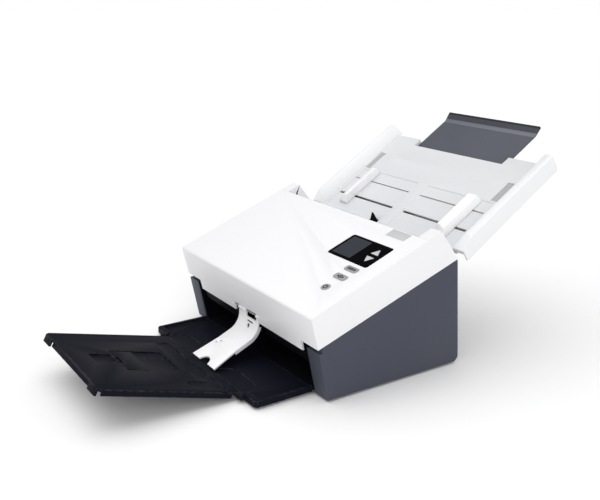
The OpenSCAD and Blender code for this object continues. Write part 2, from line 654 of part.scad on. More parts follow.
end_block_x = 64;
hollow = 1;
end_cut = 3.5;
module end_lip() polygon([[-extension_len, 2.5], [-extension_len + 2.5, 2.5],
    [-extension_len + 0.5, -6], [-extension_len - 2, -6]]);
module output_extension() color("#212230") place() on_extension() {
    inner = 97;
    outer = 89;
    skin = 3;
    difference() {
        union() {
            translate([0, 0, -skin / 2 + 1]) linear_extrude(skin) polygon([
                [-inner, 0], [inner, 0], [outer, -extension_len + 4], [outer - 4, -extension_len],
                [-outer + 4, -extension_len], [-outer, -extension_len + 4]]);
            both_sides() along_x(end_block_x, outer - 4) end_lip();
            translate([0, end_cut, 0]) along_x(-end_block_x - 0.1, end_block_x + 0.1) end_lip();
            both_sides() translate([0, 0, -4.5]) linear_extrude(6) polygon([[inner, -8],
                [outer, -extension_len + 4], [outer - 2.5, -extension_len + 4], [inner - 3, -8]]);
            both_sides() {
                along_x(0, 90) polygon([[0, 3.2], [0, -3.2], [-8, -0.5], [-8, 2.5]]);
                rod(0, inner, 3.2);
                rod(inner - 1, 105.5, fold_pin_r);
            }
        }
        box([-end_block_x, end_block_x], [-extension_len - 9, -extension_len + end_cut - 2.01],
            [-9, 5]);
        box([-33, 31], [-106, -38], [0.5, 5]);
        translate([0, 0, 0.3]) linear_extrude(5) polygon([
            [-20, -134], [-20, -108], [-2, -108], [8, -113], [7, -134]]);
        box([-14, 14], [-66, -42], [-0.1, 5]);
        translate([0, 0, skin / 2 + 1 - hollow]) linear_extrude(5) polygon(concat(
            [[-70, -10], [-66, -28], [36, -31], [62, -22]], arc([74, -40], 12, 180, 270),
            [[86, -40], [88, -10]]));
        translate([0, stop_y, stop_h]) rod(-37, 35, stop_pin_r + running_gap);
    }
}
module paper_stop() color("#262735") place() on_extension() {
    difference() {
        box([-30, 28.5], [-105.4, stop_y], [0.8, 2.4]);
        box([-12, 10], [-110, -101], [0, 5]);
    }
    translate([0, stop_y, stop_h]) rod(-36, 34, stop_pin_r);
}

// ---- Input tray ----

cap_u = tray_len + 7;
module side_section() polygon([
    [tray_inner_x - 1, -3], [tray_inner_x, 0], [146, tray_wall_h - 1], [148, tray_wall_h],
    [half_w - 2, tray_wall_h], [half_w, tray_wall_h - 2], [half_w, -12], [155.5, -12], [155.5, -3]]);
module input_tray() color("#f0f1f3") place() on_tray() {
    difference() {
        union() {
            box([-tray_inner_x, tray_inner_x], [3, tray_len], [-3, 0]);
            box([-guide_half_w + 0.6, guide_half_w - 0.6], [tray_pivot_u, 6], [-8, 0]);
            translate([0, tray_pivot_u, tray_pivot_w]) rod(-guide_half_w + 0.6, guide_half_w - 0.6, 4);
            both_sides() translate([0, cap_u, 0]) rotate([90, 0, 0]) linear_extrude(cap_u - 4)
                side_section();
            both_sides() box([150, half_w - 1.5], [cap_u, cap_u + 2], [-10, tray_wall_h - 3]);
            both_sides() box([sheet_half_w + 1, sheet_half_w + 3], [80, tray_len], [-10, -2.9]);
            both_sides() box([136, 138.4], [8, 166], [-10, -2.9]);
            translate([flag_x, flag_u, 0])
                box([-flag_half_w - 4, flag_half_w + 4], [-3, 4], [-6, -2.9]);
        }
        translate([flag_x, flag_u, 0]) box([-flag_half_w - 1, flag_half_w + 1], [-3, 3.5], [-9, 5]);
        translate([flag_x, flag_u, flag_w])
            rod(-flag_half_w - 2.8, flag_half_w + 2.8, flag_pin_r + running_gap);
        both_sides() box([56, 94], [4.2, 5.2], [-1.5, 5]);
        both_sides() box([pocket_x0, pocket_x1], [pocket_u0, pocket_u1], [-1, 5]);
        both_sides() box([pocket_x0 + 1, pocket_x1], [slot_low_u - 2, slot_low_u + 2], [-5, 5]);
        both_sides() box([pocket_x0 + 1, pocket_x1], [slot_high_u - 1, slot_high_u + 1], [-5, 5]);
        both_sides() box([122, 134], [93, 129], [-1.2, 5]);
        translate([0, 0, -20]) linear_extrude(40) polygon([
            [-88, 190], [-86.5, 157], [86.5, 157], [88, 190]]);
        both_sides() translate([0, 24, tray_wall_h]) rotate([24, 0, 0]) box([130, 170], [-40, 0], [0, 20]);
        both_sides() translate([0, tray_pivot_u, tray_pivot_w])
            rod(guide_half_w - 0.6, guide_half_w + 4.6, 4.6);
    }
    translate([0, tray_pivot_u, tray_pivot_w]) rod(-guide_half_w - 4, guide_half_w + 4, 2);
    both_sides() translate([100, 124, -0.5]) sphere(r = 1.8, $fn = 24);
}
module tray_underside() color("#e6e7ea") place() on_tray() difference() {
    box([-136, 136], [8, 150], [-12, -10.2]);
    for (x = [-120, 120], u = [16, 140]) translate([x, u, -15]) cylinder(h = 8, r = 1.6, $fn = 24);
}
module input_extension() color("#60616c") place() on_tray() {
    end_u = 225;
    difference() {
        along_x(-sheet_half_w, sheet_half_w) polygon([
            [138, sheet_w], [end_u, sheet_w], [end_u + 13, sheet_w + 4.5], [end_u + 13, sheet_w + 7.5],
            [end_u + 11.6, sheet_w + 7.5], [end_u - 1, sheet_w + sheet_t], [138, sheet_w + sheet_t]]);
        box([-12, 12], [130, 146], [-20, 5]);
    }
}
// Right-hand guide, a hollow fence with a sloping back; the left one is its mirror image
guide_u0 = 19;
guide_u1 = 88.5;
module guide_run(u0, u1) {
    translate([guide_x, u1, 0]) rotate([90, 0, 0]) linear_extrude(u1 - u0) children();
}
module guide_shape(clip_u) {
    difference() {
        intersection() {
            guide_run(guide_u0, guide_u1) polygon([
                [0, -0.7], [16.5, -0.7], [16.5, 0.9], [12.5, 7.6], [2.6, 10.5], [0, 10.5]]);
            along_x(guide_x - 1, guide_x + 18) polygon([[guide_u0, -1], [guide_u0, 3],
                [guide_u0 + 8, 11], [guide_u1 - 2.5, 11], [guide_u1, 8], [guide_u1, -1]]);
        }
        guide_run(guide_u0 + 9, guide_u1 - 3) polygon([
            [2, -1.5], [14.8, -1.5], [14.8, 0.6], [11.4, 6.2], [2.8, 8.6], [2, 8.6]]);
    }
    box([guide_x + 4, guide_x + 13], [slot_low_u - 1.5, slot_low_u + 1.5], [rack_w1, 6.2]);
    box([guide_x + 4, guide_x + 13], [slot_high_u - 0.7, slot_high_u + 0.7], [rack_w1, 6.2]);
    box([guide_x + 4, guide_x + 13], [clip_u - 2.2, clip_u + 2.2], [rack_w1 - 1.3, rack_w1 + 0.3]);
}
module right_guide() color("#f3f3f4") place() on_tray() guide_shape(slot_low_u - 0.6);
module left_guide() color("#f3f3f4") place() on_tray() mirror([1, 0, 0]) guide_shape(slot_high_u);

// Rack whose teeth face the pinion; its straight back lies at distance back_u from the pinion
tooth_pitch = PI;
module rack_bar(x0, x1, side) {
    pitch_u = pinion_r * side;
    first = ceil(x0 / tooth_pitch + 0.5);
    last = floor(x1 / tooth_pitch - 0.5);
    translate([0, pinion_u, rack_w0]) linear_extrude(rack_w1 - rack_w0) {
        polygon([[x0, pitch_u + 1.2 * side], [x1, pitch_u + 1.2 * side],
            [x1, pitch_u + 5.6 * side], [x0, pitch_u + 5.6 * side]]);
        for (i = [first:last]) translate([i * tooth_pitch, pitch_u]) polygon([
            [-1.05, 1.3 * side], [1.05, 1.3 * side], [0.3, -0.75 * side], [-0.3, -0.75 * side]]);
    }
}
rack_reach = 24;
module left_rack() color("#2a2b33") place() on_tray() {
    rack_bar(-guide_x - 13, rack_reach, -1);
    box([-guide_x - 13, -guide_x - 4], [slot_low_u - 2.6, slot_low_u + 4], [rack_w0, rack_w1]);
}
module right_rack() color("#2a2b33") place() on_tray() {
    rack_bar(-rack_reach, guide_x + 13, 1);
    box([guide_x + 4, guide_x + 13], [slot_high_u - 4, slot_high_u + 2.6], [rack_w0, rack_w1]);
}
module guide_pinion() color("#d8d8d8") place() on_tray() translate([0, pinion_u, 0]) {
    step = 360 / pinion_teeth;
    translate([0, 0, rack_w0]) linear_extrude(rack_w1 - rack_w0) polygon([
        for (i = [0:pinion_teeth - 1]) for (p = [[-0.34, 6.7], [-0.13, 8.75], [0.13, 8.75], [0.34, 6.7]])
            p[1] * [cos(90 + (i + 0.5 + p[0]) * step), sin(90 + (i + 0.5 + p[0]) * step)]]);
    translate([0, 0, -10]) cylinder(h = 6, r = 2.2);
}
// Sensor flag: a triangular paddle that leans back from its pin
module sensor_flag() color("#101014") place() on_tray() translate([flag_x, flag_u, 0]) {
    intersection() {
        along_x(-flag_half_w, flag_half_w) translate([0, flag_w]) polygon([
            [-1.6, -1], [0.6, -1.2], [1, 2], [4.2, 13.6], [3.2, 14.2], [-0.9, 2.5]]);
        translate([0, 10, 0]) rotate([90, 0, 0]) linear_extrude(20) polygon([
            [-flag_half_w, -6], [flag_half_w, -6], [flag_half_w, -1], [0.8, 10.8], [-0.8, 10.8],
            [-flag_half_w, -1]]);
    }
    translate([0, 0, flag_w]) rod(-flag_half_w - 2.5, flag_half_w + 2.5, flag_pin_r);
}

base_pan();
left_side_cover();
right_side_cover();
rear_cover();
output_bay();
output_tray();
lower_guide();
feed_ramp();
left_chassis();
right_chassis();
main_board();
power_jack();
usb_port();
drive_motor();
drive_belt();
lower_sensor();
lower_glass();
feet();
case_screws();
cover_hinge_pins();
top_cover();
upper_guide();
display_window();
lcd_module();
panel_board();
upper_sensor();
upper_glass();
pinch_springs();
arm_pin();
paper_arm();
output_extension();
paper_stop();
input_tray();
tray_underside();
input_extension();
left_guide();
right_guide();
left_rack();
right_rack();
guide_pinion();
power_button();
stop_button();
scan_button();
up_key();
down_key();
release_pad();
latch_bar();
feed_shaft();
feed_tyres();
drive_shaft();
drive_tyres();
exit_shaft();
exit_tyres();
motor_pulley();
reverse_shaft();
reverse_tyres();
drive_pinch_roller();
exit_pinch_roller();
sensor_flag();
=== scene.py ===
import json
from math import atan2, cos, pi, radians, sin

import bmesh
import bpy
from mathutils import Matrix, Vector

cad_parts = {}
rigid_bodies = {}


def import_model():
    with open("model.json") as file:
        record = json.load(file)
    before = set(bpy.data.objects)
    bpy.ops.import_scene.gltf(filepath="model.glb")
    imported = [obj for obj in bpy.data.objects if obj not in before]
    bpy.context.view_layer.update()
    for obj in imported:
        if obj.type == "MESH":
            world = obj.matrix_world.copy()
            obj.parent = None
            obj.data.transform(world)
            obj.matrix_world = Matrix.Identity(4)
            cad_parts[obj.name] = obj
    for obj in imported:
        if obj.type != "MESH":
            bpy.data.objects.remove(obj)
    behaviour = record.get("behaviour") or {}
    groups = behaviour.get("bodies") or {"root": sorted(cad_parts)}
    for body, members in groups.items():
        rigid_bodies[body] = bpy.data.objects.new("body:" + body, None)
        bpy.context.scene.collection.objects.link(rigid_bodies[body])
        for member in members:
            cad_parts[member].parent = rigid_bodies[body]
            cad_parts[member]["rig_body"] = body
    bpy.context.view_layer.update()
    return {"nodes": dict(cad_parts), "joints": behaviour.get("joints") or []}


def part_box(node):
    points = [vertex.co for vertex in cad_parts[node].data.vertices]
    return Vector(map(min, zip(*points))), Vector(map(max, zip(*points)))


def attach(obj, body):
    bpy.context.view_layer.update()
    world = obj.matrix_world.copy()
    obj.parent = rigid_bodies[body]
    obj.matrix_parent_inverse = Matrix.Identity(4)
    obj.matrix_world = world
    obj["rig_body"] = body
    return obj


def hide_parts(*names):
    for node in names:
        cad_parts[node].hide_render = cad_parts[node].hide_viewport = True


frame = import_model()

scene = bpy.context.scene


# The camera stands in front and to the right of the scanner at about head height of a seated
# person, and looks slightly down. It comes first, as the light is placed to suit it.
camera_data = bpy.data.cameras.new("camera")
camera_data.lens = 49.42
camera_data.sensor_width = 36.0
camera_data.clip_start = 0.01
camera = bpy.data.objects.new("camera", camera_data)
camera.location = (0.8302, -0.5564, 0.4295)
camera.rotation_euler = (radians(90 - 16.97), 0.0, radians(56.71))
scene.collection.objects.link(camera)
scene.camera = camera


# The studio: a pale floor under an even surround, one very broad overhead light that falls a
# little from the front left, a low broad one from the right, and a small soft fill in front.
overhead_data = bpy.data.lights.new("overhead", "SUN")
overhead_data.energy = 1.3
overhead_data.angle = radians(75)
overhead = bpy.data.objects.new("overhead", overhead_data)
overhead.rotation_euler = Vector((0.22, 0.12, -1.0)).to_track_quat("-Z", "Y").to_euler()
scene.collection.objects.link(overhead)

side_data = bpy.data.lights.new("side_light", "SUN")
side_data.energy = 1.05
side_data.angle = radians(60)
side_light = bpy.data.objects.new("side_light", side_data)
side_light.rotation_euler = Vector((-1.0, 0.3, -0.3)).to_track_quat("-Z", "Y").to_euler()
scene.collection.objects.link(side_light)

fill_data = bpy.data.lights.new("front_fill", "AREA")
fill_data.shape = "DISK"
fill_data.size = 1.2
fill_data.energy = 3.0
fill = bpy.data.objects.new("front_fill", fill_data)
fill.location = (-0.5, -1.8, 0.8)
fill.rotation_euler = (Vector((0, 0, 0.1)) - fill.location).to_track_quat("-Z", "Y").to_euler()
scene.collection.objects.link(fill)

surround = bpy.data.worlds.new("surround")
surround.use_nodes = True
sky = surround.node_tree
even_light = sky.nodes["Background"]
even_light.inputs["Color"].default_value = (1, 1, 1, 1)
even_light.inputs["Strength"].default_value = 0.58
backdrop = sky.nodes.new("ShaderNodeBackground")
backdrop.inputs["Color"].default_value = (1, 1, 1, 1)
seen = sky.nodes.new("ShaderNodeLightPath")
either = sky.nodes.new("ShaderNodeMixShader")
sky.links.new(seen.outputs["Is Camera Ray"], either.inputs["Fac"])
sky.links.new(even_light.outputs["Background"], either.inputs[1])
sky.links.new(backdrop.outputs["Background"], either.inputs[2])
sky.links.new(either.outputs["Shader"], sky.nodes["World Output"].inputs["Surface"])
scene.world = surround
scene.view_settings.view_transform = "Standard"

floor_paint = bpy.data.materials.new("floor_paper")
floor_paint.use_nodes = True
floor_shader = floor_paint.node_tree.nodes["Principled BSDF"]
floor_shader.inputs["Base Color"].default_value = (0.95, 0.95, 0.95, 1)
floor_shader.inputs["Roughness"].default_value = 0.9
floor_shader.inputs["Specular IOR Level"].default_value = 0.1
floor_mesh = bpy.data.meshes.new("floor")
sheet = bmesh.new()
bmesh.ops.create_grid(sheet, x_segments=1, y_segments=1, size=30)
sheet.to_mesh(floor_mesh)
sheet.free()
floor_mesh.materials.append(floor_paint)
floor = bpy.data.objects.new("floor", floor_mesh)
scene.collection.objects.link(floor)


# Side covers: two hollow mouldings in slate ABS with a fine spark-eroded texture, screwed to the
# base pan from below. Their corners are rounded by the mould, so each edge gets a small radius.
def new_group(name, inputs, outputs):
    tree = bpy.data.node_groups.new(name, "ShaderNodeTree")
    for label, kind, value in inputs:
        socket = tree.interface.new_socket(label, in_out="INPUT", socket_type=kind)
        socket.default_value = value
    for label, kind in outputs:
        tree.interface.new_socket(label, in_out="OUTPUT", socket_type=kind)
    return tree, tree.nodes.new("NodeGroupInput"), tree.nodes.new("NodeGroupOutput")


def noise(tree, vector, scale, detail):
    node = tree.nodes.new("ShaderNodeTexNoise")
    node.inputs["Detail"].default_value = detail
    node.inputs["Scale"].default_value = scale
    tree.links.new(vector, node.inputs["Vector"])
    return node


# Spark-eroded texture: a tight pimpled grain as height, and a slow drift of tone over the part.
eroded, eroded_in, eroded_out = new_group(
    "eroded_texture",
    [("Scale", "NodeSocketFloat", 1500.0)],
    [("Height", "NodeSocketFloat"), ("Tone", "NodeSocketFloat")])
eroded_place = eroded.nodes.new("ShaderNodeTexCoord")
pimples = noise(eroded, eroded_place.outputs["Object"], 1500, 3)
eroded.links.new(eroded_in.outputs["Scale"], pimples.inputs["Scale"])
drift = noise(eroded, eroded_place.outputs["Object"], 11, 2)
eroded.links.new(pimples.outputs["Fac"], eroded_out.inputs["Height"])
eroded.links.new(drift.outputs["Fac"], eroded_out.inputs["Tone"])

# Rubbed and highlit edges: where the rounded edge turns away from the face, broken up along its
# length.
# The lightening this mask drives is rubbing wear, and on the navy parts also a painted highlight
# along their rims.
rubbing_and_highlight_mask, rubbed_in, rubbed_out = new_group(
    "rubbed_and_highlit_edges",
    [("Radius", "NodeSocketFloat", 0.001), ("Amount", "NodeSocketFloat", 0.5)],
    [("Mask", "NodeSocketFloat")])
rubbed_round = rubbing_and_highlight_mask.nodes.new("ShaderNodeBevel")
rubbed_round.samples = 4
rubbed_face = rubbing_and_highlight_mask.nodes.new("ShaderNodeNewGeometry")
rubbed_turn = rubbing_and_highlight_mask.nodes.new("ShaderNodeVectorMath")
rubbed_turn.operation = "DOT_PRODUCT"
rubbed_away = rubbing_and_highlight_mask.nodes.new("ShaderNodeMapRange")
rubbed_away.inputs["From Min"].default_value = 0.995
rubbed_away.inputs["From Max"].default_value = 0.86
rubbed_place = rubbing_and_highlight_mask.nodes.new("ShaderNodeTexCoord")
rubbed_gaps = noise(rubbing_and_highlight_mask, rubbed_place.outputs["Object"], 160, 4)
rubbed_broken = rubbing_and_highlight_mask.nodes.new("ShaderNodeMapRange")
rubbed_broken.inputs["From Min"].default_value = 0.4
rubbed_broken.inputs["From Max"].default_value = 0.7
rubbed_both = rubbing_and_highlight_mask.nodes.new("ShaderNodeMath")
rubbed_both.operation = "MULTIPLY"
rubbed_share = rubbing_and_highlight_mask.nodes.new("ShaderNodeMath")
rubbed_share.operation = "MULTIPLY"
rubbing_and_highlight_mask.links.new(rubbed_in.outputs["Radius"], rubbed_round.inputs["Radius"])
rubbing_and_highlight_mask.links.new(rubbed_round.outputs["Normal"], rubbed_turn.inputs[0])
rubbing_and_highlight_mask.links.new(rubbed_face.outputs["Normal"], rubbed_turn.inputs[1])
rubbing_and_highlight_mask.links.new(rubbed_turn.outputs["Value"], rubbed_away.inputs["Value"])
rubbing_and_highlight_mask.links.new(rubbed_gaps.outputs["Fac"], rubbed_broken.inputs["Value"])
rubbing_and_highlight_mask.links.new(rubbed_away.outputs["Result"], rubbed_both.inputs[0])
rubbing_and_highlight_mask.links.new(rubbed_broken.outputs["Result"], rubbed_both.inputs[1])
rubbing_and_highlight_mask.links.new(rubbed_both.outputs["Value"], rubbed_share.inputs[0])
rubbing_and_highlight_mask.links.new(rubbed_in.outputs["Amount"], rubbed_share.inputs[1])
rubbing_and_highlight_mask.links.new(rubbed_share.outputs["Value"], rubbed_out.inputs["Mask"])


def lighter(colour, share):
    return tuple(c + (1 - c) * share for c in colour)


def moulded(
        name, colour, roughness, scale=1500.0, depth=0.12, rub_and_highlight_share=0.12, specular=0.5, drift=0.93):
    """A moulded plastic: its colour drifts a little, its grain is a bump, its edges are lightened
    as rubbing wear, and on the navy parts also as a painted highlight.
    """
    made = bpy.data.materials.new(name)
    made.use_nodes = True
    tree = made.node_tree
    shader = tree.nodes["Principled BSDF"]
    shader.inputs["Specular IOR Level"].default_value = specular
    texture = tree.nodes.new("ShaderNodeGroup")
    texture.node_tree = eroded
    texture.inputs["Scale"].default_value = scale
    edges = tree.nodes.new("ShaderNodeGroup")
    edges.node_tree = rubbing_and_highlight_mask
    edges.inputs["Radius"].default_value = 0.0009
    edges.inputs["Amount"].default_value = 0.6
    tone = tree.nodes.new("ShaderNodeMix")
    tone.data_type = "RGBA"
    tone.inputs["A"].default_value = (*colour, 1)
    tone.inputs["B"].default_value = (*[c * drift for c in colour], 1)
    # Edge lightening: rubbing wear, which on the navy parts is also a painted highlight.
    wear_and_highlight_mix = tree.nodes.new("ShaderNodeMix")
    wear_and_highlight_mix.data_type = "RGBA"
    wear_and_highlight_mix.inputs["B"].default_value = (*lighter(colour, rub_and_highlight_share), 1)
    sheen = tree.nodes.new("ShaderNodeMapRange")
    sheen.inputs["To Min"].default_value = max(roughness - 0.06, 0.02)
    sheen.inputs["To Max"].default_value = roughness + 0.06
    relief = tree.nodes.new("ShaderNodeBump")
    relief.inputs["Strength"].default_value = depth
    relief.inputs["Distance"].default_value = 0.0002
    tree.links.new(texture.outputs["Tone"], tone.inputs["Factor"])
    tree.links.new(tone.outputs["Result"], wear_and_highlight_mix.inputs["A"])
    tree.links.new(edges.outputs["Mask"], wear_and_highlight_mix.inputs["Factor"])
    tree.links.new(wear_and_highlight_mix.outputs["Result"], shader.inputs["Base Color"])
    tree.links.new(texture.outputs["Tone"], sheen.inputs["Value"])
    tree.links.new(sheen.outputs["Result"], shader.inputs["Roughness"])
    tree.links.new(texture.outputs["Height"], relief.inputs["Height"])
    tree.links.new(relief.outputs["Normal"], shader.inputs["Normal"])
    return made


def finish(node, material):
    """Gives a CAD node that stays in view its material."""
    mesh = frame["nodes"][node].data
    mesh.materials.clear()
    mesh.materials.append(material)
    return frame["nodes"][node]


def softened(node, radius, material, segments=2, angle=32):
    """A copy of a moulding with its sharp edges rounded, which stands for the CAD node."""
    merge_within = 0.000004
    flat_within = radians(0.4)
    shape = bmesh.new()
    shape.from_mesh(frame["nodes"][node].data)
    bmesh.ops.remove_doubles(shape, verts=shape.verts, dist=merge_within)
    bmesh.ops.dissolve_limit(
        shape, angle_limit=flat_within, verts=shape.verts, edges=shape.edges)
    for face in shape.faces:
        face.smooth = True
    mesh = bpy.data.meshes.new(node + "_moulding")
    shape.to_mesh(mesh)
    shape.free()
    mesh.materials.append(material)
    made = bpy.data.objects.new(node + "_moulding", mesh)
    scene.collection.objects.link(made)
    rounding = made.modifiers.new("rounded_edges", "BEVEL")
    rounding.width = radius
    rounding.segments = segments
    rounding.limit_method = "ANGLE"
    rounding.angle_limit = radians(angle)
    rounding.use_clamp_overlap = True
    rounding.harden_normals = True
    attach(made, frame["nodes"][node]["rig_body"])
    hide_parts(node)
    return made


slate = moulded("slate_abs", (0.064, 0.069, 0.094), 0.55, depth=0.2, rub_and_highlight_share=0.1, specular=0.2)
softened("left_side_cover", 0.0009, slate)
softened("right_side_cover", 0.0009, slate)


# Rear cover: one flat moulding in the same slate ABS, with a rack of cooling slots and the openings
# for the power jack, the USB socket and the security lock.
softened("rear_cover", 0.0004, slate)


# Base pan, feet and screws: a black tray that everything is screwed to, four turned rubber pads
# pressed into its pockets, and zinc-plated screws.
black = moulded(
    "black_abs", (0.0045, 0.005, 0.0075), 0.5, depth=0.12, rub_and_highlight_share=0.03, specular=0.03)
softened("base_pan", 0.0004, black)
rubber = moulded(
    "rubber", (0.02, 0.02, 0.021), 0.75, scale=900, depth=0.3, rub_and_highlight_share=0.05, specular=0.25)
softened("feet", 0.0005, rubber)


def metal(name, colour, roughness, across):
    """A drawn or ground metal: fine scratches run across the given stretch of the coordinates."""
    made = bpy.data.materials.new(name)
    made.use_nodes = True
    tree = made.node_tree
    shader = tree.nodes["Principled BSDF"]
    shader.inputs["Metallic"].default_value = 1.0
    place = tree.nodes.new("ShaderNodeTexCoord")
    stretch = tree.nodes.new("ShaderNodeMapping")
    stretch.inputs["Scale"].default_value = across
    scratches = noise(tree, stretch.outputs["Vector"], 600, 4)
    tone = tree.nodes.new("ShaderNodeMix")
    tone.data_type = "RGBA"
    tone.inputs["A"].default_value = (*colour, 1)
    tone.inputs["B"].default_value = (*[c * 0.78 for c in colour], 1)
    polish = tree.nodes.new("ShaderNodeMapRange")
    polish.inputs["To Min"].default_value = roughness * 0.7
    polish.inputs["To Max"].default_value = roughness * 1.3
    relief = tree.nodes.new("ShaderNodeBump")
    relief.inputs["Strength"].default_value = 0.08
    relief.inputs["Distance"].default_value = 0.0001
    tree.links.new(place.outputs["Object"], stretch.inputs["Vector"])
    tree.links.new(scratches.outputs["Fac"], tone.inputs["Factor"])
    tree.links.new(tone.outputs["Result"], shader.inputs["Base Color"])
    tree.links.new(scratches.outputs["Fac"], polish.inputs["Value"])
    tree.links.new(polish.outputs["Result"], shader.inputs["Roughness"])
    tree.links.new(scratches.outputs["Fac"], relief.inputs["Height"])
    tree.links.new(relief.outputs["Normal"], shader.inputs["Normal"])
    return made


zinc = metal("zinc_plate", (0.55, 0.55, 0.56), 0.3, (1, 1, 1))
finish("case_screws", zinc)


# Output bay: the black liner behind the front opening, whose side walls stand against the posts
# and whose roof carries the paper to the tray.
softened("output_bay", 0.0005, black)


# Output tray: a shallow black-navy tray that clips into the foot of the case, with low ribs that
# let the last sheet be picked up.
# The navy's edges are lightened to a light grey: a painted highlight along the rims of the tray,
# its extension and the stop, on top of rubbing wear.
navy = moulded("navy_abs", (0.0078, 0.0082, 0.0145), 0.5, depth=0.12, rub_and_highlight_share=0.2, specular=0.03)
softened("output_tray", 0.0006, navy)


# Output extension and its stop: the panel that folds out of the tray on two pins, with a finger
# recess, and a small flap in a pocket that is stood up to catch short sheets.
softened("output_extension", 0.0005, navy)
softened("paper_stop", 0.0003, navy)


# Chassis: two plates of galvanised sheet that carry every bearing, and the ground pins that the
# cover turns on.
galvanised = metal("galvanised_sheet", (0.5, 0.51, 0.52), 0.38, (1, 0.2, 1))
finish("left_chassis", galvanised)
finish("right_chassis", galvanised)
ground_steel = metal("ground_steel", (0.6, 0.6, 0.61), 0.22, (6, 1, 1))
finish("cover_hinge_pins", ground_steel)


# Lower paper guide and feed ramp: the bed the sheet slides over, black inside the case and white
# where it meets the input tray.
softened("lower_guide", 0.0003, black)
tray_white = moulded(
    "tray_white", (0.84, 0.845, 0.855), 0.42, depth=0.05, rub_and_highlight_share=0.3, specular=0.3, drift=0.98)
softened("feed_ramp", 0.0004, tray_white)


# Electronics: the main board on its pillars, the jack and the socket at its rear edge, and the two
# line sensors under their glass strips.
board = moulded("solder_mask", (0.012, 0.075, 0.035), 0.35, scale=400, depth=0.1, rub_and_highlight_share=0.2)
finish("main_board", board)
softened("power_jack", 0.0003, black)
port_shell = metal("port_shell", (0.62, 0.62, 0.63), 0.25, (1, 1, 4))
finish("usb_port", port_shell)
finish("lower_sensor", black)


def clear_strip(name, tint, roughness):
    made = bpy.data.materials.new(name)
    made.use_nodes = True
    tree = made.node_tree
    shader = tree.nodes["Principled BSDF"]
    shader.inputs["Transmission Weight"].default_value = 0.85
    shader.inputs["IOR"].default_value = 1.5
    texture = tree.nodes.new("ShaderNodeGroup")
    texture.node_tree = eroded
    texture.inputs["Scale"].default_value = 120
    tone = tree.nodes.new("ShaderNodeMix")
    tone.data_type = "RGBA"
    tone.inputs["A"].default_value = (*tint, 1)
    tone.inputs["B"].default_value = (*[c * 0.9 for c in tint], 1)
    dust = tree.nodes.new("ShaderNodeMapRange")
    dust.inputs["To Min"].default_value = roughness
    dust.inputs["To Max"].default_value = roughness + 0.06
    tree.links.new(texture.outputs["Tone"], tone.inputs["Factor"])
    tree.links.new(tone.outputs["Result"], shader.inputs["Base Color"])
    tree.links.new(texture.outputs["Height"], dust.inputs["Value"])
    tree.links.new(dust.outputs["Result"], shader.inputs["Roughness"])
    return made


strip_glass = clear_strip("strip_glass", (0.8, 0.88, 0.88), 0.03)
finish("lower_glass", strip_glass)


# Drive: a can motor with a brass pulley, a toothed rubber belt round all the rollers' pulleys,
# and three steel shafts with moulded pulleys and rubber tyres.
motor_can = metal("motor_can", (0.42, 0.42, 0.43), 0.35, (1, 1, 0.3))
finish("drive_motor", motor_can)
brass = metal("turned_brass", (0.62, 0.5, 0.26), 0.25, (5, 1, 1))
finish("motor_pulley", brass)
finish("drive_belt", rubber)
tyre_grey = moulded(
    "tyre_grey", (0.05, 0.05, 0.053), 0.7, scale=700, depth=0.35, rub_and_highlight_share=0.05, specular=0.2)
for shaft in ("feed_shaft", "drive_shaft", "exit_shaft", "reverse_shaft"):
    finish(shaft, ground_steel)
for tyres in ("feed_tyres", "drive_tyres", "exit_tyres", "reverse_tyres"):
    softened(tyres, 0.0005, tyre_grey)


# Top cover: one large white moulding with a satin surface. Its front skirt hangs between the
# posts and is cut out where the paper arm hangs.
cover_white = moulded(
    "cover_white", (0.85, 0.85, 0.87), 0.42, depth=0.04, rub_and_highlight_share=0.4, specular=0.3, drift=0.985)
softened("top_cover", 0.0008, cover_white, segments=3)

# The cover's own directions, from the way its buttons move and from the window's top rear edge:
# every detail on it is placed by its distance across and up the slope from that edge.
joint = {j["name"]: j for j in frame["joints"]}
press = Vector(joint["scan_press"]["axis"])
cover_slope = atan2(press.y, -press.z)
window_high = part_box("display_window")[1]
window_depth = 0.0016
window_edge = Vector((0, window_high.y - window_depth * sin(cover_slope), window_high.z))
cover_face = Matrix.Translation(window_edge) @ Matrix.Rotation(cover_slope, 4, "X")


# Upper paper guide: the black moulding under the cover that carries the pinch rollers, the upper
# sensor and the reverse roller.
softened("upper_guide", 0.0003, black)
finish("upper_sensor", black)
finish("upper_glass", strip_glass)
acetal = moulded("acetal", (0.72, 0.72, 0.70), 0.3, scale=300, depth=0.03, rub_and_highlight_share=0.2)
finish("drive_pinch_roller", acetal)
finish("exit_pinch_roller", acetal)
finish("pinch_springs", ground_steel)
finish("latch_bar", galvanised)


# Display: a gloss black window over the cover's upper right, with a liquid-crystal screen behind
# its left half and two rocking arrow keys in its right half.
window_black = moulded(
    "window_black", (0.0022, 0.0022, 0.003), 0.1, scale=60, depth=0.004, rub_and_highlight_share=0.03, specular=0.006)
softened("display_window", 0.0003, window_black)
screen_grey = moulded(
    "screen_grey", (0.034, 0.038, 0.05), 0.16, scale=2500, depth=0.01, rub_and_highlight_share=0.02, specular=0.05)
finish("lcd_module", screen_grey)
finish("panel_board", board)
key_silver = moulded("key_silver", (0.55, 0.555, 0.56), 0.22, depth=0.03, rub_and_highlight_share=0.3)
softened("up_key", 0.0003, key_silver)
softened("down_key", 0.0003, key_silver)


# Buttons: three satin grey caps below the display, each with a printed symbol, which push straight
# into the cover.
button_grey = moulded(
    "button_grey", (0.33, 0.332, 0.342), 0.45, depth=0.06, rub_and_highlight_share=0.25, specular=0.3)
for button in ("scan_button", "stop_button", "power_button"):
    softened(button, 0.0005, button_grey, segments=3)
ink = moulded(
    "symbol_ink", (0.012, 0.012, 0.014), 0.5, scale=900, depth=0.05, rub_and_highlight_share=0.05, specular=0.1)
ink_thickness = 0.00006


